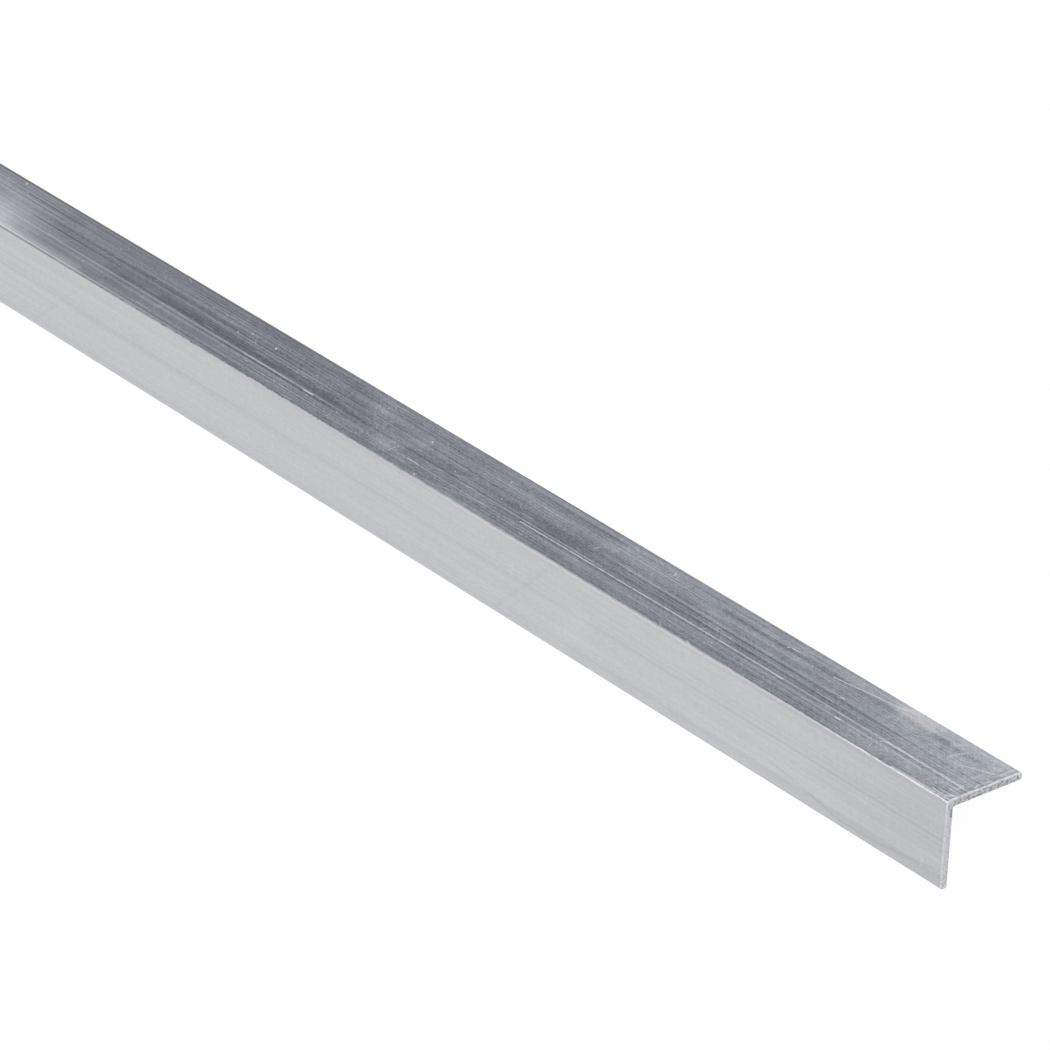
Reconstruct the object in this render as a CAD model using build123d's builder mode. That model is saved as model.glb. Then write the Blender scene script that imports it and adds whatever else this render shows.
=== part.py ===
from build123d import *
from math import sqrt
import os

# Equal-leg angle section: one cut length of extruded aluminium bar.
# Two flat legs of the same width and wall meet square at the heel. The corners of the section are
# eased by small radii, as the die leaves them, and both sawn ends have their sharp edge broken.
# The bar lies unheld on a floor: heel up, both toes down, each leg sloping at 45 degrees.
# The origin is at floor level, midway along the bar and straight under the heel.
# X runs along the bar, Y across it from toe to toe, and Z is up.

# Sizes in millimetres
leg_width = 19.05  # outside of the heel to the end of the toe, 3/4 in
wall = 1.5875  # thickness of both legs, 1/16 in
bar_length = 914.4  # 36 in, a length that such bar is sold in
heel_radius = 0.4  # outside corner of the section
root_radius = 0.5  # inside corner, where the legs meet
toe_radius = 0.6  # the two corners at the end of each leg
end_break = 0.25  # bevel that deburring leaves round each sawn end

# A corner whose sides both slope at 45 degrees stands this much lower per millimetre of radius
corner_drop = sqrt(2) - 1
# The rounded inside corners of the toes touch the floor, which sets the height of the sharp heel
heel_height = (leg_width + wall) / sqrt(2) - toe_radius * corner_drop

# The section is drawn with the heel at its origin and one leg along each axis, on a plane across
# one end of the bar that is turned so that both legs slope down to the floor
section_plane = Plane(origin=(bar_length / 2, 0, heel_height), x_dir=(0, 1, -1), z_dir=(-1, 0, 0))

# Corners of the section in order from the heel, each with its radius
section_corners = {
    (0, 0): heel_radius,
    (leg_width, 0): toe_radius,
    (leg_width, wall): toe_radius,
    (wall, wall): root_radius,
    (wall, leg_width): toe_radius,
    (0, leg_width): toe_radius,
}

with BuildPart() as angle_section:
    with BuildSketch(section_plane) as section:
        with BuildLine():
            FilletPolyline(*section_corners.keys(), radius=section_corners.values(), close=True)
        make_face()
    extrude(amount=bar_length)
    sawn_ends = angle_section.faces().filter_by(Axis.X)
    chamfer(sawn_ends.edges(), end_break)

angle_section.part.label = "angle_section"

os.makedirs("parts", exist_ok=True)
export_step(angle_section.part, "parts/angle_section.step")
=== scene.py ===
from math import exp, radians, sqrt

import bmesh
import bpy
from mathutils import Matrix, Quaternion, Vector, noise


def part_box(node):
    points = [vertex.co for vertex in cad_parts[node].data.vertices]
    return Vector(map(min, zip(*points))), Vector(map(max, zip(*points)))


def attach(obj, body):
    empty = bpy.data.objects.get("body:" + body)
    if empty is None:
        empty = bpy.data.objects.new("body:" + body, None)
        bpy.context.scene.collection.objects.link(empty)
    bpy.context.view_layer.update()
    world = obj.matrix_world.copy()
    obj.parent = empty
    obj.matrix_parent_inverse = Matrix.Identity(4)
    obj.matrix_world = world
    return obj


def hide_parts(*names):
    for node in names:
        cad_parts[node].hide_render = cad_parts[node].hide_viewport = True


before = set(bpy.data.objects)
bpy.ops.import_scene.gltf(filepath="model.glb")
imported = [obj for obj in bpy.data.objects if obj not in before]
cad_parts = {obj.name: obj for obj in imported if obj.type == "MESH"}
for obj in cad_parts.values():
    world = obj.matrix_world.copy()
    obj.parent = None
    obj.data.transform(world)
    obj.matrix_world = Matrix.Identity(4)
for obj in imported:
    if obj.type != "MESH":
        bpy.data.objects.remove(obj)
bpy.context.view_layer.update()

# The angle bar
# One sawn length of extruded aluminium angle: two equal flat legs, eased corners, deburred ends.
# The die leaves fine lines along it. The outside of one leg is darker, partly a dull film from handling and
# storage and partly painted shade, and is scratched through to bright metal, most of all near the sawn end.
half_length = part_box("angle_section")[1].x
leg_width = 0.01905
wall = 0.0015875
heel_radius = 0.0004
root_radius = 0.0005
toe_radius = 0.0006
end_break = 0.00025
corner_segments = 6
heel_height = (leg_width + wall) / sqrt(2) - toe_radius * (sqrt(2) - 1)

# Directions down the two legs from the heel, square to each other
down_right = Vector((0, 1, -1)).normalized()
down_left = Vector((0, -1, -1)).normalized()
sharp_heel = Vector((0, 0, heel_height))

section_corners = {
    (0, 0): heel_radius,
    (leg_width, 0): toe_radius,
    (leg_width, wall): toe_radius,
    (wall, wall): root_radius,
    (wall, leg_width): toe_radius,
    (0, leg_width): toe_radius,
}

# Points nearer to each other than this are in one place
same_place = 1e-7

# The rings that divide the bar are close near its ends, where it has most nicks, and wide elsewhere
fine_end = 0.06
fine_pitch = 0.0005
plain_pitch = 0.002
strips_from_heel = (0.0007, 0.0025, 0.005, 0.008, 0.011, 0.014, 0.0165, leg_width - 0.0009)

# A narrow ring round each sawn face keeps its shading flat
sawn_inset = 0.00005
rim_pitch = 0.0004
# The rim moves by up to about one and a half times this
rim_wander = 0.00016

# These would be the depths at a sharp corner. The corners are rounded and few points lie near them, so
# the deepest nicks are a fifth as deep or less: 0.046 mm at the heel and 0.023 mm at the toes
heel_nick_depth = 0.00022
toe_nick_depth = 0.00015
nick_reach = 0.00035
# Away from an end the nicks become shallower over this length
nicks_fade = 0.05


def section_point(x, right, left):
    """The point at x, this far down the right leg and this far down the left one."""
    return Vector((x, 0, 0)) + sharp_heel + right * down_right + left * down_left


def runs_along(edge):
    across = (edge.verts[0].co - edge.verts[1].co).yz
    return across.length < same_place


def each_once(found):
    """A list with no repeats, in the same order in every run, which a set would not keep."""
    return list(dict.fromkeys(found))


def put_in_order():
    """Puts the points, edges and faces in an order that is the same in every run."""
    for rank, vert in enumerate(sorted(bar.verts, key=lambda v: v.co[:])):
        vert.index = rank
    bar.verts.sort()
    for part in (bar.edges, bar.faces):
        for rank, item in enumerate(sorted(part, key=lambda i: sorted(v.index for v in i.verts))):
            item.index = rank
        part.sort()


bar = bmesh.new()
end_face = bar.faces.new([bar.verts.new(section_point(-half_length, *at)) for at in section_corners])
near_corners = end_face.verts[:]
far_face = bmesh.ops.extrude_discrete_faces(bar, faces=[end_face])["faces"][0]
bmesh.ops.translate(bar, verts=far_face.verts[:], vec=(2 * half_length, 0, 0))
bar.faces.new(near_corners)
bmesh.ops.recalc_face_normals(bar, faces=bar.faces)
put_in_order()

for at, radius in section_corners.items():
    corner = section_point(0, *at).yz
    along_bar = [e for e in bar.edges if runs_along(e)]
    corner_edges = [e for e in along_bar if (e.verts[0].co.yz - corner).length < same_place]
    bmesh.ops.bevel(
        bar, geom=corner_edges, offset=radius, offset_type="OFFSET", affect="EDGES",
        segments=corner_segments, profile=0.5, material=-1,
    )
    put_in_order()

ends = [f for f in bar.faces if abs(f.normal.x) > 0.9]
rim_edges = each_once(e for f in ends for e in f.edges)
bmesh.ops.bevel(
    bar, geom=rim_edges, offset=end_break, offset_type="OFFSET", affect="EDGES",
    segments=2, profile=0.5, material=-1,
)
put_in_order()
ends = [f for f in bar.faces if abs(f.normal.x) > 0.999]
bmesh.ops.inset_region(bar, faces=ends, thickness=sawn_inset, depth=0)
put_in_order()

for distance in strips_from_heel:
    for direction in (down_right, down_left):
        everything = bar.verts[:] + bar.edges[:] + bar.faces[:]
        bmesh.ops.bisect_plane(
            bar, geom=everything, dist=same_place,
            plane_co=sharp_heel + direction * distance, plane_no=direction,
        )
        put_in_order()

for x in (-half_length + fine_end, half_length - fine_end):
    everything = bar.verts[:] + bar.edges[:] + bar.faces[:]
    bmesh.ops.bisect_plane(
        bar, geom=everything, dist=same_place, plane_co=(x, 0, 0), plane_no=(1, 0, 0)
    )
    put_in_order()


def divide_along(nearest, furthest, pitch):
    """Cuts the edges that run along the bar between these distances from its middle."""
    found = []
    for edge in bar.edges:
        middle = abs(sum(v.co.x for v in edge.verts) / 2)
        if runs_along(edge) and nearest < middle < furthest and edge.calc_length() > 0.01:
            found.append(edge)
    cuts = round(found[0].calc_length() / pitch) - 1
    bmesh.ops.subdivide_edges(bar, edges=found, cuts=cuts, use_grid_fill=True)
    put_in_order()


divide_along(half_length - fine_end, half_length, fine_pitch)
divide_along(-1, half_length - fine_end, plain_pitch)

# The rim of each end is divided finely down both legs
near_rim = half_length - 2 * fine_pitch
rim = [f for f in bar.faces if min(abs(v.co.x) for v in f.verts) > near_rim]
rim = rim + each_once(e for f in rim for e in f.edges) + each_once(v for f in rim for v in f.verts)
for direction in (down_right, down_left):
    for step in range(round(1.3 * wall / rim_pitch), int((leg_width - toe_radius) / rim_pitch)):
        at = sharp_heel + direction * rim_pitch * step
        cut = bmesh.ops.bisect_plane(bar, geom=rim, dist=same_place, plane_co=at, plane_no=direction)
        rim = cut["geom"]
put_in_order()

for face in bar.faces:
    face.smooth = True
    face.material_index = int(abs(face.normal.x) > 0.3)


def nick(x, seed):
    """How deep an edge is dented here, from 0: mostly nothing, with a few short nicks."""
    short = noise.noise(Vector((x * 900, seed, 0)))
    long = noise.noise(Vector((x * 160, seed, 5)))
    return max(0.0, 0.6 * short + 0.6 * long - 0.12)


nicked_lines = (
    (section_point(0, 0, 0), 1, heel_nick_depth),
    (section_point(0, leg_width, 0), 7, toe_nick_depth),
    (section_point(0, 0, leg_width), 13, toe_nick_depth),
)
middle_of_section = section_point(0, leg_width * 0.4, leg_width * 0.4)
for vert in bar.verts:
    knocked = 0.35 + 0.65 * exp((abs(vert.co.x) - half_length) / nicks_fade)
    for line, seed, depth in nicked_lines:
        away = (vert.co.yz - line.yz).length
        pull = exp(-((away / nick_reach) ** 2))
        if pull > 1e-4:
            inwards = (middle_of_section - line).normalized()
            vert.co += inwards * depth * knocked * pull * nick(vert.co.x, seed)

# The saw leaves the rim wavy
for vert in bar.verts:
    from_end = half_length - abs(vert.co.x)
    if from_end < 1.1 * end_break:
        wave = noise.noise(vert.co * 1400) + 0.5 * noise.noise(vert.co * 600)
        outwards = 1 if vert.co.x > 0 else -1
        vert.co.x -= (wave * rim_wander + 0.5 * rim_wander) * from_end / end_break * outwards

mesh = bpy.data.meshes.new("angle_bar")
bar.to_mesh(mesh)
bar.free()
angle_bar = bpy.data.objects.new("angle_bar", mesh)
bpy.context.collection.objects.link(angle_bar)

# To be baked, the skin is unrolled in three lengths, one above the other, and the two ends lie above them
lengths = 3
each_length = 2 * half_length / lengths
skin_scale = 0.98 / (each_length + plain_pitch)
end_scale = 0.21 / leg_width
margin = 0.01
strip_height = 4 * leg_width * skin_scale + margin


def down_legs(point):
    """How far a point is down the right leg and down the left one."""
    return (point - sharp_heel).dot(down_right), (point - sharp_heel).dot(down_left)


bake_map = mesh.uv_layers.new(name="OFBake")
for face in mesh.polygons:
    right, left = down_legs(face.center)
    side = 1 if right > left else -1
    inside_leg = min(right, left) > wall / 2
    strip = min(int((face.center.x + half_length) / each_length), lengths - 1)
    for corner in face.loop_indices:
        point = mesh.vertices[mesh.loops[corner].vertex_index].co
        right, left = down_legs(point)
        if face.material_index == 1:
            across, up = margin + right * end_scale, lengths * strip_height + 2 * margin + left * end_scale
            if point.x < 0:
                across += 0.25
        else:
            run, depth = (right, left) if side == 1 else (left, right)
            if inside_leg:
                from_ridge = 2 * leg_width + depth - run
            elif run > leg_width / 2:
                from_ridge = run + depth
            else:
                from_ridge = run - depth
            across = margin + (point.x + half_length - strip * each_length + plain_pitch / 2) * skin_scale
            up = margin + strip * strip_height + (2 * leg_width + side * from_ridge) * skin_scale
        bake_map.data[corner].uv = across, up

# Node trees are put together with these
millimetres = 1000


def add_node(tree, kind, inputs=None, **settings):
    """Adds a shader node. An input is set to a value, or linked if it is given another node's socket."""
    made = tree.nodes.new("ShaderNode" + kind)
    for name, value in settings.items():
        setattr(made, name, value)
    for name, value in (inputs or {}).items():
        if isinstance(value, bpy.types.NodeSocket):
            tree.links.new(value, made.inputs[name])
        else:
            made.inputs[name].default_value = value
    return made


def calculate(tree, operation, *values):
    return add_node(tree, "Math", dict(enumerate(values)), operation=operation).outputs[0]


def calculate_vector(tree, operation, *values):
    return add_node(tree, "VectorMath", dict(enumerate(values)), operation=operation).outputs[0]


def fade(tree, value, start, end, low=0.0, high=1.0):
    """Goes smoothly from low to high as value goes from start to end."""
    inputs = {"Value": value, "From Min": start, "From Max": end, "To Min": low, "To Max": high}
    return add_node(tree, "MapRange", inputs, interpolation_type="SMOOTHSTEP").outputs["Result"]


def blend(tree, amount, first, second):
    """A colour that is first where amount is 0 and second where it is 1."""
    inputs = {"Factor": amount, 6: first, 7: second}
    return add_node(tree, "Mix", inputs, data_type="RGBA").outputs[2]


def add_up(tree, base, parts):
    """base plus each value times its share."""
    total = base
    for value, share in parts:
        total = calculate(tree, "MULTIPLY_ADD", value, share, total)
    return total


def start_group(name, inputs, outputs):
    """A shader node group with these sockets, and its own input and output nodes."""
    group = bpy.data.node_groups.new(name, "ShaderNodeTree")
    for socket, kind in inputs.items():
        group.interface.new_socket(socket, in_out="INPUT", socket_type="NodeSocket" + kind)
    for socket, kind in outputs.items():
        group.interface.new_socket(socket, in_out="OUTPUT", socket_type="NodeSocket" + kind)
    return group, group.nodes.new("NodeGroupInput").outputs, group.nodes.new("NodeGroupOutput").inputs


def place_group(tree, group, inputs):
    """Puts a group in a node tree with these inputs and gives its output."""
    return add_node(tree, "Group", inputs, node_tree=group).outputs[0]


def measure_place(tree):
    """Where a point is in millimetres: as a vector, along the bar, and down the right and left legs."""
    lift = heel_height / sqrt(2) * millimetres
    place = add_node(
        tree, "Mapping",
        {"Vector": add_node(tree, "TexCoord").outputs["Object"], "Location": (0, lift, -lift),
         "Rotation": (radians(45), 0, 0), "Scale": (millimetres,) * 3},
    ).outputs[0]
    along, right, negative_left = add_node(tree, "SeparateXYZ", {0: place}).outputs
    return place, along, right, calculate(tree, "MULTIPLY", negative_left, -1.0)


# Streaks that are much longer than they are wide: from -0.5 to 0.5
streaks, given, result = start_group(
    "streaks",
    {"Place": "Vector", "Turn": "Float", "Run": "Float", "Pitch": "Float", "Detail": "Float"},
    {"Value": "Float"},
)
turned = add_node(
    streaks, "VectorRotate", {"Vector": given["Place"], "Angle": given["Turn"]}, rotation_type="Z_AXIS"
).outputs[0]
size = add_node(streaks, "CombineXYZ", {0: given["Run"], 1: given["Pitch"], 2: given["Pitch"]}).outputs[0]
stretched = calculate_vector(streaks, "DIVIDE", turned, size)
pattern = add_node(
    streaks, "TexNoise", {"Vector": stretched, "Scale": 1.0, "Detail": given["Detail"], "Roughness": 0.6}
)
streaks.links.new(calculate(streaks, "SUBTRACT", pattern.outputs[0], 0.5), result["Value"])

# Straight scratches that lie about one way, each in a cell of its own
scratches, given, result = start_group(
    "scratches",
    {"Place": "Vector", "Turn": "Float", "Run": "Float", "Pitch": "Float", "Width": "Float",
     "Share": "Float"},
    {"Mask": "Float"},
)
turned = add_node(
    scratches, "VectorRotate", {"Vector": given["Place"], "Angle": given["Turn"]}, rotation_type="Z_AXIS"
).outputs[0]
cell_size = add_node(scratches, "CombineXYZ", {0: given["Run"], 1: given["Pitch"], 2: 1.0}).outputs[0]
in_cells = calculate_vector(scratches, "DIVIDE", turned, cell_size)
cells = add_node(scratches, "TexVoronoi", {"Vector": in_cells, "Scale": 1.0}, voronoi_dimensions="2D")
from_middle = calculate_vector(scratches, "SUBTRACT", in_cells, cells.outputs["Position"])
away = add_node(
    scratches, "SeparateXYZ", {0: calculate_vector(scratches, "MULTIPLY", from_middle, cell_size)}
).outputs
chance = add_node(scratches, "SeparateColor", {0: cells.outputs["Color"]}).outputs
steepest = calculate(scratches, "DIVIDE", given["Pitch"], given["Run"])
slope = calculate(scratches, "MULTIPLY_ADD", chance[2], 1.6, -0.8)
slope = calculate(scratches, "MULTIPLY", slope, steepest)
off_line = calculate(scratches, "ABSOLUTE", calculate(scratches, "MULTIPLY_ADD", away[0], slope, away[1]))
core = calculate(scratches, "MULTIPLY", given["Width"], 0.3)
thin = fade(scratches, off_line, given["Width"], core)
longest = calculate(scratches, "MULTIPLY_ADD", chance[1], 0.3, 0.15)
longest = calculate(scratches, "MULTIPLY", given["Run"], longest)
past_middle = calculate(scratches, "ABSOLUTE", away[0])
ended = fade(scratches, past_middle, longest, calculate(scratches, "MULTIPLY", longest, 0.3))
chosen = calculate(scratches, "LESS_THAN", chance[0], given["Share"])
depth = calculate(scratches, "MULTIPLY_ADD", chance[1], -0.6, 1.0)
mask = calculate(scratches, "MULTIPLY", calculate(scratches, "MULTIPLY", thin, ended), chosen)
scratches.links.new(calculate(scratches, "MULTIPLY", mask, depth), result["Mask"])

# Small round spots
specks, given, result = start_group(
    "specks", {"Place": "Vector", "Pitch": "Float", "Radius": "Float", "Share": "Float"}, {"Mask": "Float"}
)
inverse = calculate(specks, "DIVIDE", 1.0, given["Pitch"])
cells = add_node(specks, "TexVoronoi", {"Vector": given["Place"], "Scale": inverse}, voronoi_dimensions="2D")
away = calculate(specks, "MULTIPLY", cells.outputs["Distance"], given["Pitch"])
chance = add_node(specks, "SeparateColor", {0: cells.outputs["Color"]}).outputs
radius = calculate(specks, "MULTIPLY_ADD", chance[1], 0.7, 0.3)
radius = calculate(specks, "MULTIPLY", given["Radius"], radius)
spot = fade(specks, away, radius, calculate(specks, "MULTIPLY", radius, 0.5))
chosen = calculate(specks, "LESS_THAN", chance[0], given["Share"])
specks.links.new(calculate(specks, "MULTIPLY", spot, chosen), result["Mask"])

# One mark from one place to another, which fades out at reach
single_mark, given, result = start_group(
    "single_mark", {"Place": "Vector", "From": "Vector", "To": "Vector", "Reach": "Float"}, {"Mask": "Float"}
)
whole = calculate_vector(single_mark, "SUBTRACT", given["To"], given["From"])
from_start = calculate_vector(single_mark, "SUBTRACT", given["Place"], given["From"])
along_it = add_node(single_mark, "VectorMath", {0: from_start, 1: whole}, operation="DOT_PRODUCT")
all_of_it = add_node(single_mark, "VectorMath", {0: whole, 1: whole}, operation="DOT_PRODUCT")
share = calculate(single_mark, "DIVIDE", along_it.outputs["Value"], all_of_it.outputs["Value"])
share = calculate(single_mark, "MINIMUM", calculate(single_mark, "MAXIMUM", share, 0.0), 1.0)
nearest = add_node(single_mark, "VectorMath", {0: whole, "Scale": share}, operation="SCALE").outputs[0]
off_line = add_node(single_mark, "VectorMath", {0: from_start, 1: nearest}, operation="DISTANCE")
off_line = off_line.outputs["Value"]
core = calculate(single_mark, "MULTIPLY", given["Reach"], 0.2)
single_mark.links.new(fade(single_mark, off_line, given["Reach"], core), result["Mask"])

# Colours of the metal, as it reflects plain white
bright_metal = (0.77, 0.79, 0.84, 1)
painted_highlight_metal = (0.89, 0.89, 0.89, 1)
painted_glint_metal = (0.86, 0.87, 0.90, 1)
pale_metal = (0.62, 0.623, 0.642, 1)
grey_metal = (0.45, 0.455, 0.475, 1)
# The film colours carry painted shade at their dark end and painted sheen at their light end
light_film_and_sheen = (0.575, 0.60, 0.65, 1)
dark_film_and_shade = (0.095, 0.106, 0.134, 1)
dark_edge_colour = (0.155, 0.152, 0.158, 1)

skin = bpy.data.materials.new("drawn_skin")
skin.use_nodes = True
tree = skin.node_tree
shader = tree.nodes["Principled BSDF"]

half_wall = 0.8
place, along, right, left = measure_place(tree)
from_end = calculate(tree, "SUBTRACT", half_length * millimetres, calculate(tree, "ABSOLUTE", along))
down_leg = calculate(tree, "MAXIMUM", right, left)
on_left = calculate(tree, "GREATER_THAN", left, right)
inside = calculate(tree, "GREATER_THAN", calculate(tree, "MINIMUM", right, left), half_wall)
# Each of the four faces has its own stretch of the patterns
moved_along = calculate(tree, "MULTIPLY_ADD", inside, 3000.0, along)
moved_along = calculate(tree, "MULTIPLY_ADD", on_left, 1500.0, moved_along)
on_face = add_node(tree, "CombineXYZ", {0: moved_along, 1: down_leg}).outputs[0]
on_right = add_node(tree, "CombineXYZ", {0: along, 1: right}).outputs[0]
on_front = add_node(tree, "CombineXYZ", {0: along, 1: left}).outputs[0]


def add_streaks(tree, vector, turn, run, pitch, detail):
    inputs = {"Place": vector, "Turn": radians(turn), "Run": run, "Pitch": pitch, "Detail": detail}
    return place_group(tree, streaks, inputs)


def add_marks(tree, vector, marks):
    """Adds up listed marks: from, to (along, down the leg), how far each reaches, its strength."""
    total = 0.0
    for start, end, reach, strength in marks:
        inputs = {"Place": vector, "From": (*start, 0), "To": (*end, 0), "Reach": reach}
        total = calculate(tree, "MULTIPLY_ADD", place_group(tree, single_mark, inputs), strength, total)
    return total


broad = add_streaks(tree, place, 0, 700.0, 3.0, 2.0)
medium = add_streaks(tree, place, 0, 260.0, 0.9, 2.0)
fine = add_streaks(tree, place, 0, 90.0, 0.3, 3.0)
short = add_streaks(tree, on_face, 0, 1.5, 0.3, 2.0)
mottle = add_streaks(tree, on_face, 0, 14.0, 3.5, 4.0)
patch = add_streaks(tree, on_face, 20, 16.0, 7.0, 2.0)
across = add_streaks(tree, on_face, 98, 4.0, 0.35, 2.0)
slanting = add_streaks(tree, on_face, 42, 5.0, 0.35, 2.0)
backward = add_streaks(tree, on_face, -18, 7.0, 0.35, 2.0)
steep = add_streaks(tree, on_face, -52, 4.0, 0.35, 2.0)
dabs = add_streaks(tree, on_face, -50, 2.2, 0.9, 3.0)
flecks = add_streaks(tree, on_face, 0, 0.7, 0.3, 1.0)
chatter = add_streaks(tree, on_face, 94, 5.0, 0.6, 2.0)
end_wear_and_sheen = fade(tree, from_end, 50.0, 8.0)
near_end = fade(tree, from_end, 210.0, 40.0)
handled = fade(tree, from_end, 290.0, 180.0)

# The outside of the right leg is darker, partly a dull film and partly painted shade. The die has left light
# and dark lines all along it, and it is lighter where hands and other bars have rubbed it
die_lines = (
    ((100, 4.4), (460, 4.4), 0.7, 0.08),
    ((100, 5.12), (460, 5.12), 0.4, -0.11),
    ((100, 5.85), (460, 5.85), 0.6, 0.09),
    ((180, 7.6), (460, 7.6), 1.5, -0.06),
    ((200, 7.5), (262, 7.5), 1.6, -0.11),
    ((200, 8.6), (260, 8.6), 0.9, -0.07),
    ((287, 7.1), (301, 7.5), 1.7, -0.13),
    ((315, 8.3), (343, 8.3), 1.3, -0.09),
    ((266, 6.4), (281, 6.5), 1.1, -0.10),
    ((378, 7.7), (418, 7.7), 0.8, -0.08),
    ((150, 9.15), (350, 9.15), 0.45, -0.13),
    ((350, 9.3), (460, 9.3), 0.4, -0.12),
    ((318, 9.7), (352, 9.7), 0.9, -0.11),
    ((352, 9.6), (408, 9.6), 0.5, -0.06),
    ((415, 10.6), (448, 10.6), 0.8, -0.07),
    ((360, 10), (460, 10), 0.5, 0.05),
    ((130, 11.5), (225, 11.5), 0.9, -0.09),
    ((180, 11.4), (280, 11.4), 1.7, -0.05),
    ((302, 10.6), (345, 10.6), 0.7, -0.11),
    ((304, 12.9), (346, 13.1), 1.3, 0.07),
    ((262, 13.2), (400, 13.2), 1.3, 0.08),
    ((140, 14.7), (300, 14.7), 0.6, -0.07),
    ((377, 14.7), (412, 14.7), 0.9, -0.13),
    ((412, 14.7), (450, 14.7), 0.6, -0.06),
    ((296, 15), (312, 15), 1.5, 0.07),
    ((352, 14.7), (374, 14.7), 1.2, 0.06),
    ((318, 16.6), (345, 16.6), 0.8, -0.08),
    ((335, 15.6), (460, 15.8), 0.7, 0.06),
    ((185, 1.3), (262, 1.4), 0.8, 0.07),
    ((292, 2.6), (410, 2.6), 1.5, -0.05),
    ((300, 2.4), (345, 2.4), 1.0, -0.09),
    ((225, 5.4), (262, 5.4), 0.8, -0.07),
    ((386, 3.7), (428, 3.7), 0.3, -0.06),
    ((412, 2.4), (430, 2.4), 0.4, -0.09),
    ((412, 1.0), (424, 1.0), 0.4, -0.07),
)
rubs_and_sheen = (
    # The first, widest rub lightens the face about 95 to 138 mm along, partly as a painted reflection
    ((95, -8), (138, -8), 31, 0.58),
    ((92, 2), (108, 3), 16, -0.24),
    ((-170, -22), (78, 1), 24, 0.17),
    ((95, -2), (142, -2), 11, 0.18),
    ((100, 0.5), (176, 0.8), 3.5, 0.17),
    ((140, 0.6), (180, 0.6), 1.8, 0.07),
    ((187, 6), (201, 6), 3, -0.07),
    ((190, 10), (262, 10), 11, -0.02),
    ((281, 6.5), (287, 9), 4.5, 0.11),
    ((282, 5), (269, 13), 3.5, 0.05),
    ((318, 5), (338, 5.5), 2.4, -0.07),
    ((342, 14), (349, 15), 3, 0.05),
    ((355, 18.4), (386, 18.4), 1.8, 0.08),
    ((345, 14.5), (425, 16.5), 4.5, 0.06),
    ((374, 12.5), (381, 9), 3, 0.05),
    ((380, 9), (386.5, 7.2), 1.6, 0.08),
    ((398, 13), (414, 13.8), 2.5, 0.07),
    ((398, 19), (428, 19), 3.5, 0.09),
    ((430, 16.2), (433, 19), 6.5, 0.22),
    ((432.5, 12.5), (434.5, 15.5), 2.2, 0.10),
    ((426, 20), (460, 19.5), 5, 0.19),
    ((438, 9), (460, 12), 8, 0.09),
    ((450, 7.5), (458, 7), 3, 0.05),
    ((452, 15.5), (457, 15.5), 3.2, 0.10),
    ((456, 6), (457, 10), 2.5, 0.05),
    ((456, 2), (457.5, 2.8), 1.6, 0.16),
    ((438, 1.4), (453, 2), 1.6, -0.09),
    ((421, 7.5), (430, 7.5), 3, -0.05),
    ((440, 14.9), (442.8, 12.2), 1.7, -0.10),
    ((437, 15.1), (440.6, 15.2), 0.6, -0.11),
    ((444.3, 14.2), (447, 15.4), 1.5, -0.07),
    ((449, 14.8), (451.4, 15.6), 1.2, -0.10),
    ((455, 6.2), (456.6, 6.4), 0.9, -0.09),
    ((452, 1.7), (456.2, 1.7), 0.35, -0.16),
    ((452, 2.6), (456.4, 2.7), 0.35, -0.12),
    ((300, 1.5), (318, 1.8), 2.2, 0.08),
    ((135, 14.6), (160, 14.8), 2.5, -0.07),
    ((400, 13.4), (404, 13.6), 1.4, 0.08),
)
long_cuts = (
    ((148, 5.9), (262, 5.9), 0.26, 0.18),
    ((268, 4.2), (345, 4.2), 0.22, 0.20),
    ((325, 5.45), (365, 5.75), 0.22, 0.75),
    ((365, 5.8), (404, 5.85), 0.22, 0.75),
    ((404, 5.85), (434, 5.85), 0.22, 0.40),
    ((434, 5.85), (441, 5.85), 0.24, 0.85),
    ((441, 5.8), (456, 5.8), 0.22, 0.55),
    ((428, 9.9), (457, 9.9), 0.22, 0.15),
    ((387, 15.4), (400, 15.45), 0.2, 0.30),
    ((386, 3.25), (430, 3.25), 0.2, 0.14),
    ((412, 4.2), (445, 4.2), 0.22, 0.20),
    ((412, 12.1), (428, 12.2), 0.2, 0.16),
)
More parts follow.
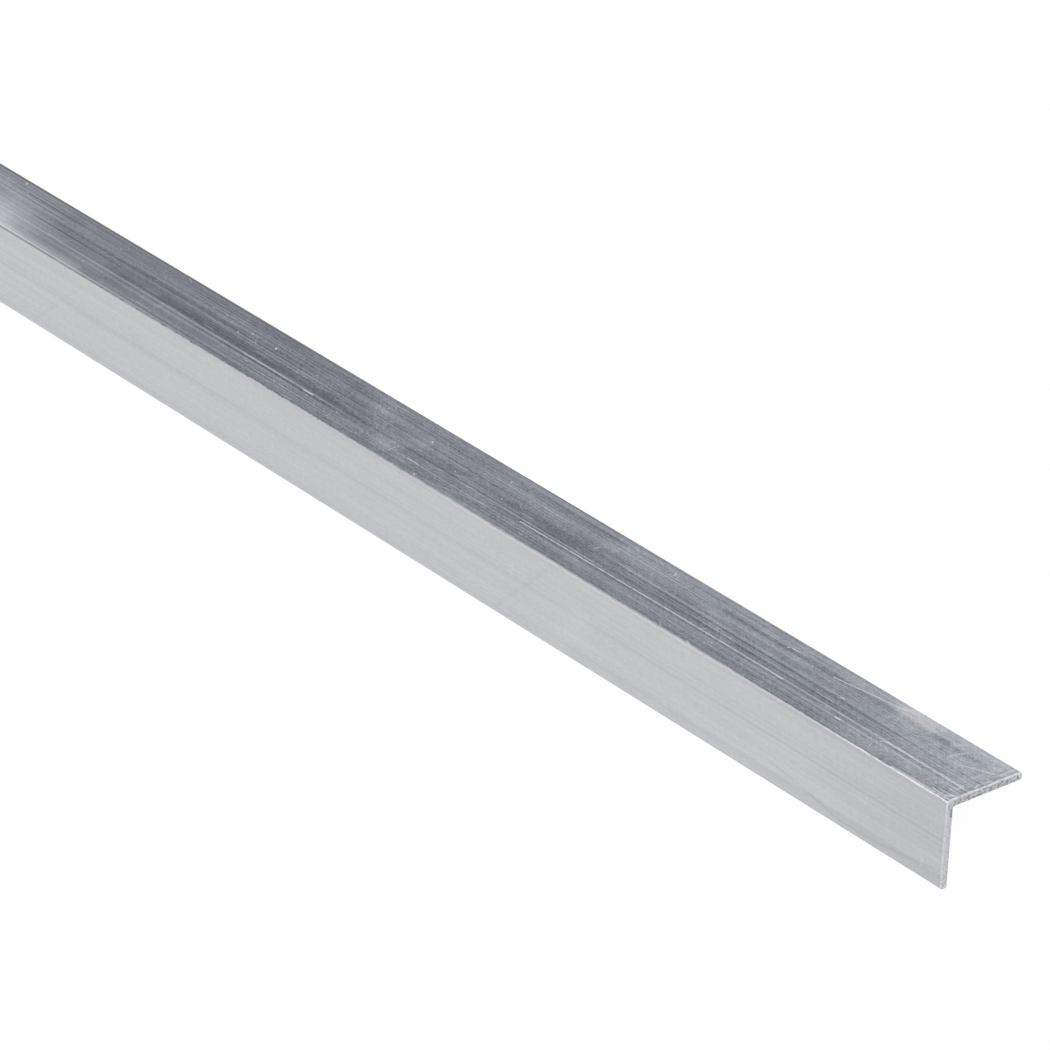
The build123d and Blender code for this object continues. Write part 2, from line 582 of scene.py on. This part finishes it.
short_cuts = (
    ((232, 5.9), (247, 5.9), 0.2, 0.30),
    ((253, 5.6), (256, 5.8), 0.22, 0.85),
    ((290, 4.2), (293.5, 4.2), 0.2, 0.45),
    ((342.3, 10.3), (342.7, 11.6), 0.22, 0.45),
    ((284.8, 3.2), (284.8, 6.2), 0.24, 0.28),
    ((300, 1), (318, 5), 0.4, 0.12),
    ((297, 6), (305.5, 9.3), 0.4, 0.12),
    ((409.5, 14.3), (427.5, 16.95), 0.22, 0.55),
    ((396.2, 15.4), (398.4, 15.4), 0.22, 0.45),
    ((421.3, 4.2), (422.6, 4.3), 0.26, 0.9),
    ((416.2, 10.2), (416.9, 10.3), 0.3, 0.55),
    ((433, 5.0), (434.2, 5.8), 0.22, 0.6),
    ((447.4, 10.8), (450.5, 12.2), 0.3, 0.30),
    ((450.5, 12.2), (454.6, 13.9), 0.26, 0.50),
    ((454.6, 14), (457, 15.4), 0.5, 0.28),
    ((444.7, 12.2), (446, 15.6), 0.45, 0.28),
    ((442.4, 15.4), (443.6, 17.2), 0.4, 0.30),
    ((436, 14.4), (436.9, 17), 0.6, 0.20),
    ((453.6, 4.5), (453.6, 13.5), 0.35, 0.22),
    ((441.5, 0.3), (453, 0.55), 0.55, 0.40),
    ((454, 0.5), (457, 1.0), 0.5, 0.50),
    ((455.2, 1.6), (457, 3.2), 0.5, 0.45),
    ((453.5, 3.7), (456.6, 3.4), 0.25, 0.40),
    ((456.4, 7.6), (455.8, 9), 0.3, 0.45),
    ((456.7, 5.4), (457.1, 7.2), 0.35, 0.40),
    ((451.6, 1.3), (455.4, 1.2), 0.26, 0.55),
    ((452.4, 2.1), (455.8, 2.3), 0.26, 0.45),
    ((454.6, 4.9), (455.6, 7.6), 0.3, 0.35),
    ((452.4, 5.2), (453.0, 8.0), 0.26, 0.25),
    ((421.2, 5.6), (421.7, 7.0), 0.24, 0.13),
    ((416.8, 5.4), (418.6, 5.1), 0.24, 0.26),
    ((432.6, 3.2), (433.4, 1.6), 0.24, 0.26),
    ((435.4, 4.2), (437.0, 3.4), 0.24, 0.26),
    ((437.6, 4.3), (445, 4.25), 0.22, 0.22),
    ((402.6, 5.4), (404.4, 5.9), 0.22, 0.40),
    ((398.6, 0.9), (399.2, 0.2), 0.24, 0.20),
    ((382.2, 0.6), (383.4, 0.1), 0.26, 0.50),
    ((287.1, 12.9), (287.6, 12.6), 0.3, 0.6),
    ((296.3, 0.9), (296.8, 0.6), 0.3, 0.5),
    ((233.9, 12.8), (234.4, 12.4), 0.3, 0.7),
    ((222.8, 11.1), (223.3, 10.7), 0.28, 0.4),
    ((225.4, 13), (225.9, 12.6), 0.28, 0.4),
    ((135.2, 17.5), (135.7, 17.1), 0.4, 0.5),
    ((359.9, 16.8), (360.4, 16), 0.28, 0.5),
)
wiped = (
    ((283, 2), (268, 14), 3.5, 1.0),
    ((278, 5), (288, 9), 5, 0.5),
    ((299, 2), (312, 6), 3.5, 0.6),
    ((343, 11), (347, 16), 3, 0.6),
    ((378, 12), (386, 8), 4, 0.7),
    ((438, 16), (451, 9), 6, 0.7),
    ((449, 1), (458, 4), 4, 1.0),
)
rubbed = fade(tree, patch, -0.04, 0.16)
hatched = add_up(tree, 0.01, ((rubbed, 0.04), (end_wear_and_sheen, 0.05), (add_marks(tree, on_right, wiped), 0.10)))
hatch = add_up(
    tree, 0.0,
    ((fade(tree, across, 0.02, 0.2), 0.7), (fade(tree, slanting, 0.02, 0.18), 1.0),
     (fade(tree, backward, 0.04, 0.2), 0.8), (fade(tree, steep, 0.05, 0.2), 0.8)),
)
rough_grain = add_up(
    tree, 0.0, ((fine, 0.85), (short, 0.45), (mottle, 0.2), (across, 0.12), (slanting, 0.12), (patch, 0.12))
)
grain = add_up(
    tree, calculate(tree, "MULTIPLY", hatch, hatched),
    ((broad, 0.25), (medium, 0.5), (calculate(tree, "MULTIPLY", dabs, end_wear_and_sheen), 0.5),
     (calculate(tree, "MULTIPLY", flecks, handled), 0.45),
     (calculate(tree, "MULTIPLY", chatter, fade(tree, from_end, 5.0, 1.5)), 1.5),
     (calculate(tree, "MULTIPLY", rough_grain, calculate(tree, "MULTIPLY_ADD", handled, 0.5, 0.95)), 1.0)),
)
# Towards the sawn end the face is lighter, partly rubbed and partly a painted reflection
film_and_shade_tone = add_up(tree, 0.256, ((near_end, 0.09), (end_wear_and_sheen, 0.14), (grain, 1.0)))
film_and_shade_tone = calculate(tree, "ADD", film_and_shade_tone, add_marks(tree, on_right, die_lines))
film_and_shade_tone = calculate(tree, "ADD", film_and_shade_tone, add_marks(tree, on_right, rubs_and_sheen))
film_and_shade = blend(tree, film_and_shade_tone, dark_film_and_shade, light_film_and_sheen)
worn_bare = (
    ((428.5, 17.4), (432, 16.6), 3.8, 0.6),
    ((447.5, 1.4), (449.5, 2), 1.6, 0.8),
    ((454.8, 14), (456, 12.5), 2.5, 0.6),
    ((452, 18), (457, 16.5), 2, 0.5),
)
neutral_film_and_shade = blend(tree, film_and_shade_tone, (0.104, 0.106, 0.112, 1), (0.605, 0.605, 0.615, 1))
film_and_shade = blend(tree, add_marks(tree, on_right, worn_bare), film_and_shade, neutral_film_and_shade)
# Darker along the toe of the right leg
darker_toe = fade(tree, right, 17.2, 18.6)
darker_toe = calculate(tree, "MULTIPLY", darker_toe, fade(tree, mottle, -0.1, 0.12, 0.0, 0.22))
film_and_shade = blend(tree, darker_toe, film_and_shade, dark_edge_colour)

# The other faces are bare, with faint lines and rubs
front_marks = (
    ((120, 8.8), (457, 8.7), 0.5, -0.24),
    ((215, 0.8), (457, 0.8), 0.7, -0.12),
    ((360, 8.1), (440, 8.1), 1.0, -0.10),
    ((120, 17.3), (457, 17.3), 2.6, -0.12),
    ((146, 9.6), (175, 9.8), 1.2, 0.12),
    ((163, 18), (181, 3), 0.8, -0.12),
    ((325, 17.5), (340, 3), 0.8, -0.14),
    ((345, 16), (352, 9), 4, 0.14),
    ((408, 14.2), (420, 15.9), 0.4, -0.26),
    ((420, 15.9), (429, 17.6), 0.4, -0.30),
    ((429, 17.6), (441, 17.3), 0.4, -0.32),
    ((441, 17.3), (455, 15.4), 0.4, -0.26),
    ((435.2, 11), (435.8, 9.2), 0.3, 0.3),
    ((451.3, 16.6), (451.6, 15), 0.3, 0.4),
)
metal_tone = add_up(
    tree, 0.60,
    ((broad, 0.4), (medium, 0.6), (fine, 0.75), (short, 0.9), (mottle, 0.45), (across, 0.35),
     (end_wear_and_sheen, -0.2)),
)
metal_tone = calculate(tree, "ADD", metal_tone, add_marks(tree, on_front, front_marks))
metal = blend(tree, metal_tone, grey_metal, pale_metal)

# Painted reflections on the heel: dark and light lines mid-bar, a pale sheen nearer the end, a glint at the
# ends
wander = add_streaks(tree, on_face, 0, 3.0, 50.0, 3.0)
middle_of_bar = fade(tree, calculate(tree, "ABSOLUTE", along), 240.0, 160.0)
off_heel = add_up(tree, calculate(tree, "SUBTRACT", right, left), ((wander, 0.7),))
# A painted dark reflection line and a painted light one run along the heel away from the ends
off_dark_heel_line = calculate(tree, "ABSOLUTE", add_up(tree, 0.22, ((right, 1.0), (left, -1.0), (wander, 0.2))))
painted_dark_heel_line = calculate(tree, "MULTIPLY", fade(tree, off_dark_heel_line, 0.40, 0.14), middle_of_bar)
off_light_heel_line = calculate(tree, "ABSOLUTE", add_up(tree, -0.35, ((right, 1.0), (left, -1.0), (wander, 0.2))))
painted_light_heel_line = calculate(tree, "MULTIPLY", fade(tree, off_light_heel_line, 0.40, 0.14), middle_of_bar)
# A pale painted sheen on the front side of the heel, nearer the end
painted_heel_sheen = calculate(tree, "MULTIPLY", fade(tree, off_heel, 0.1, -0.1), fade(tree, off_heel, -0.95, -0.6))
painted_heel_sheen = calculate(tree, "MULTIPLY", painted_heel_sheen, fade(tree, from_end, 165.0, 135.0))
painted_heel_sheen = calculate(tree, "MULTIPLY", painted_heel_sheen, fade(tree, from_end, 45.0, 75.0, 0.08, 0.18))
metal = blend(tree, painted_heel_sheen, metal, painted_highlight_metal)
# A painted shade line just below the heel near the end
painted_heel_shade = fade(tree, off_heel, -0.3, -0.45)
painted_heel_shade = calculate(tree, "MULTIPLY", painted_heel_shade, fade(tree, off_heel, -0.95, -0.7))
painted_heel_shade = calculate(tree, "MULTIPLY", painted_heel_shade, fade(tree, from_end, 75.0, 45.0))
metal = blend(tree, calculate(tree, "MULTIPLY", painted_heel_shade, 0.5), metal, grey_metal)

# Nearer the end the painted shade and film stop further up the heel, with a softer edge
moved_film_edge = fade(tree, from_end, 200.0, 150.0)
moved_film_edge = calculate(tree, "MULTIPLY", moved_film_edge, fade(tree, from_end, 40.0, 75.0, 0.6, 1.0))
off_darkened_face = add_up(tree, off_heel, ((short, 1.2), (mottle, 0.9), (moved_film_edge, -0.35)))
off_darkened_face = calculate(tree, "DIVIDE", off_darkened_face, calculate(tree, "MULTIPLY_ADD", moved_film_edge, 1.2, 1.0))
# The darkened face is partly dull film and partly painted shade
filmed_and_shaded = calculate(tree, "MULTIPLY", fade(tree, left, 0.55, 0.3), fade(tree, off_darkened_face, -0.35, 0.05))
colour = blend(tree, filmed_and_shaded, metal, film_and_shade)
colour = blend(tree, calculate(tree, "MULTIPLY", painted_dark_heel_line, 0.6), colour, dark_edge_colour)
colour = blend(tree, calculate(tree, "MULTIPLY", painted_light_heel_line, 0.38), colour, painted_highlight_metal)
toe_line = calculate(tree, "MULTIPLY", fade(tree, right, 17.75, 18.05), fade(tree, left, 0.75, 0.6))
toe_line = calculate(tree, "MULTIPLY", toe_line, fade(tree, from_end, 195.0, 230.0, 0.0, 0.85))
colour = blend(tree, toe_line, colour, dark_edge_colour)

scratch_layers = (
    # turn from along the bar, run, pitch, width, share of cells, strength
    (0.3, 110.0, 1.0, 0.15, 0.30, 0.55),
    (-1.2, 18.0, 1.2, 0.12, 0.16, 0.9),
    (97.0, 3.5, 1.9, 0.12, 0.02, 1.0),
    (38.0, 6.0, 2.4, 0.11, 0.02, 1.0),
)
marks = 0.0
for turn, run, pitch, width, share, strength in scratch_layers:
    inputs = {"Place": on_face, "Turn": radians(turn), "Run": run, "Pitch": pitch, "Width": width,
              "Share": share}
    layer = calculate(tree, "MULTIPLY", place_group(tree, scratches, inputs), strength)
    marks = calculate(tree, "MAXIMUM", marks, layer)
spots = place_group(tree, specks, {"Place": on_face, "Pitch": 5.0, "Radius": 0.26, "Share": 0.14})
marks = calculate(tree, "MAXIMUM", marks, calculate(tree, "MULTIPLY", spots, 1.4))
marks = calculate(tree, "MULTIPLY", marks, calculate(tree, "MULTIPLY_ADD", filmed_and_shaded, 0.42, 0.08))
broken = fade(tree, short, -0.14, 0.02, 0.5, 1.0)
cuts = calculate(tree, "MULTIPLY", add_marks(tree, on_right, long_cuts), broken)
cuts = calculate(tree, "ADD", cuts, add_marks(tree, on_right, short_cuts))
marks = calculate(tree, "MAXIMUM", marks, calculate(tree, "MULTIPLY", cuts, filmed_and_shaded))
colour = blend(tree, marks, colour, bright_metal)

# A painted glint along the heel, brightest near the ends
glint = fade(tree, calculate(tree, "ABSOLUTE", calculate(tree, "ADD", off_heel, 0.05)), 0.27, 0.1)
shine = add_up(
    tree, 0.0, ((fade(tree, from_end, 90.0, 60.0), 0.35), (fade(tree, from_end, 45.0, 15.0), 0.6))
)
glint = calculate(tree, "MULTIPLY", glint, fade(tree, short, -0.15, 0.05, 0.25, 1.0))
glint = calculate(tree, "MULTIPLY", glint, shine)
outside = calculate(tree, "SUBTRACT", 1.0, inside)
colour = blend(tree, calculate(tree, "MULTIPLY", glint, outside), colour, painted_glint_metal)

# The saw has left a ragged rim: a bright line, partly burr and partly painted highlight, with painted burr
# shadows in dark gaps next to it
ragged = add_up(tree, from_end, ((short, 1.4), (across, 0.9), (mottle, 0.7)))
painted_burr_shadow = calculate(tree, "MULTIPLY", fade(tree, ragged, 0.95, 0.75), fade(tree, ragged, 0.4, 0.55))
painted_burr_shadow = calculate(tree, "MULTIPLY", painted_burr_shadow, fade(tree, patch, -0.05, 0.1, 0.0, 0.35))
painted_burr_shadow = calculate(tree, "MULTIPLY", painted_burr_shadow, calculate(tree, "MULTIPLY_ADD", on_left, -0.8, 1.0))
colour = blend(tree, painted_burr_shadow, colour, dark_edge_colour)
gaps = add_streaks(tree, on_face, 90, 1.6, 2.0, 3.0)
# The rim's bright line is partly burr and partly a painted highlight
rim = calculate(tree, "MULTIPLY", fade(tree, ragged, 0.45, 0.25), fade(tree, gaps, -0.08, 0.1, 0.2, 1.0))
rim = calculate(tree, "MULTIPLY", rim, calculate(tree, "MULTIPLY_ADD", on_left, -0.6, 1.0))
colour = blend(tree, rim, colour, bright_metal)

tree.links.new(colour, shader.inputs["Base Color"])
shader.inputs["Metallic"].default_value = 1
roughness = add_up(tree, 0.34, ((filmed_and_shaded, 0.12), (fine, 0.2), (marks, -0.15)))
tree.links.new(roughness, shader.inputs["Roughness"])
height = add_up(tree, 0.0, ((medium, 1.0), (fine, 0.8), (short, 0.4)))
bump = add_node(tree, "Bump", {"Height": height, "Strength": 1.0, "Distance": 0.00001})
tree.links.new(bump.outputs[0], shader.inputs["Normal"])
mesh.materials.append(skin)

# The sawn faces are torn into small dark and light specks
sawn = bpy.data.materials.new("sawn_end")
sawn.use_nodes = True
tree = sawn.node_tree
shader = tree.nodes["Principled BSDF"]
place, along, right, left = measure_place(tree)
depth = calculate(tree, "MINIMUM", right, left)
to_inside = calculate(tree, "SUBTRACT", wall * millimetres, depth)
to_toe = calculate(tree, "SUBTRACT", leg_width * millimetres, calculate(tree, "MAXIMUM", right, left))
to_edge = calculate(tree, "MINIMUM", calculate(tree, "MINIMUM", depth, to_inside), to_toe)
in_section = add_node(tree, "CombineXYZ", {0: right, 1: left}).outputs[0]
torn = add_streaks(tree, in_section, 0, 0.7, 0.45, 3.0)
teeth = add_streaks(tree, in_section, 35, 2.5, 0.25, 2.0)
on_left = fade(tree, calculate(tree, "SUBTRACT", left, right), 0.3, 1.5)
torn_tone = calculate(tree, "MULTIPLY", torn, calculate(tree, "MULTIPLY_ADD", on_left, -1.2, 3.3))
tone = add_up(tree, 0.62, ((torn_tone, 1.0), (teeth, 0.7), (on_left, 0.3)))
end_marks = (
    ((18.2, 0.3), (18.6, 0.5), 0.45, 0.8),
    ((17.7, 0.7), (17.8, 0.8), 0.25, -0.5),
    ((18.3, 1.0), (18.8, 0.9), 0.35, 0.5),
    ((0.1, 0.1), (0.9, 0.4), 1.1, 0.45),
    ((1.2, 2.2), (1.3, 3.4), 0.7, -0.45),
)
tone = calculate(tree, "ADD", tone, add_marks(tree, in_section, end_marks))
colour = blend(tree, tone, (0.16, 0.165, 0.18, 1), pale_metal)
# A bright line along each edge of the sawn face, partly burr and partly a painted highlight
edge = fade(tree, add_up(tree, to_edge, ((torn, 0.6),)), 0.22, 0.08)
gaps = add_streaks(tree, in_section, 0, 1.3, 1.3, 3.0)
edge = calculate(tree, "MULTIPLY", edge, fade(tree, gaps, -0.1, 0.08, 0.3, 1.0))
edge = calculate(tree, "MULTIPLY", edge, calculate(tree, "MULTIPLY_ADD", on_left, -0.6, 1.0))
colour = blend(tree, edge, colour, bright_metal)
tree.links.new(colour, shader.inputs["Base Color"])
shader.inputs["Metallic"].default_value = 1
tree.links.new(add_up(tree, 0.48, ((torn, 0.3),)), shader.inputs["Roughness"])
height = add_up(tree, 0.0, ((torn, 1.0), (teeth, 0.6)))
bump = add_node(tree, "Bump", {"Height": height, "Strength": 1.0, "Distance": 0.00003})
tree.links.new(bump.outputs[0], shader.inputs["Normal"])
mesh.materials.append(sawn)

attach(angle_bar, "root")
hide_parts("angle_section")

# The floor
# A plain white sheet under the bar, which keeps its soft shadow.
floor_mesh = bpy.data.meshes.new("floor")
sheet = bmesh.new()
bmesh.ops.create_grid(sheet, x_segments=1, y_segments=1, size=8)
sheet.to_mesh(floor_mesh)
sheet.free()
floor = bpy.data.objects.new("floor", floor_mesh)
bpy.context.collection.objects.link(floor)
white = bpy.data.materials.new("white_sheet")
white.use_nodes = True
tree = white.node_tree
tree.nodes.remove(tree.nodes["Principled BSDF"])
paths = add_node(tree, "LightPath").outputs
seen = calculate(tree, "MAXIMUM", paths["Is Camera Ray"], paths["Is Glossy Ray"])
seen = calculate(tree, "MAXIMUM", seen, paths["Is Transmission Ray"])
glow = add_node(tree, "Emission", {"Color": (1, 1, 1, 1), "Strength": 0.962}).outputs[0]
shaded = add_node(tree, "BsdfDiffuse", {"Color": (0.065, 0.065, 0.065, 1)}).outputs[0]
plain = add_node(tree, "BsdfDiffuse", {"Color": (0.8, 0.8, 0.8, 1)}).outputs[0]
both = add_node(tree, "AddShader", {0: glow, 1: shaded}).outputs[0]
surface = add_node(tree, "MixShader", {0: seen, 1: plain, 2: both}).outputs[0]
tree.links.new(surface, tree.nodes["Material Output"].inputs["Surface"])
floor_mesh.materials.append(white)

# The light
# A white room and a large dim lamp above it. A brighter one clips to white where the metal mirrors it.
world = bpy.data.worlds.new("white_room")
bpy.context.scene.world = world
world.use_nodes = True
tree = world.node_tree
is_diffuse = add_node(tree, "LightPath").outputs["Is Diffuse Ray"]
strength = add_node(tree, "MapRange", {"Value": is_diffuse, "To Min": 1.0, "To Max": 0.6}).outputs[0]
tree.links.new(strength, tree.nodes["Background"].inputs["Strength"])
tree.nodes["Background"].inputs["Color"].default_value = (1, 1, 1, 1)

lamp = bpy.data.lights.new("soft_box", "AREA")
lamp.shape = "RECTANGLE"
lamp.size = 2.4
lamp.size_y = 2.0
lamp.energy = 6
soft_box = bpy.data.objects.new("soft_box", lamp)
soft_box.location = (1.2, 0.2, 1.4)
soft_box.rotation_mode = "QUATERNION"
soft_box.rotation_quaternion = (Vector((0.3, 0, 0)) - soft_box.location).to_track_quat("-Z", "Y")
bpy.context.collection.objects.link(soft_box)

# The camera
camera_at = Vector((1.1305, -0.0855, 0.8782))
aimed_at = Vector((0.3306, 0.0033, 0.0148))
roll = radians(50.18)
lens = bpy.data.cameras.new("camera")
lens.lens = 203.5
lens.sensor_width = 36
camera = bpy.data.objects.new("camera", lens)
camera.location = camera_at
camera.rotation_mode = "QUATERNION"
camera.rotation_quaternion = (aimed_at - camera_at).to_track_quat("-Z", "Y") @ Quaternion((0, 0, 1), -roll)
bpy.context.collection.objects.link(camera)
bpy.context.scene.camera = camera

bpy.context.scene.view_settings.view_transform = "Standard"
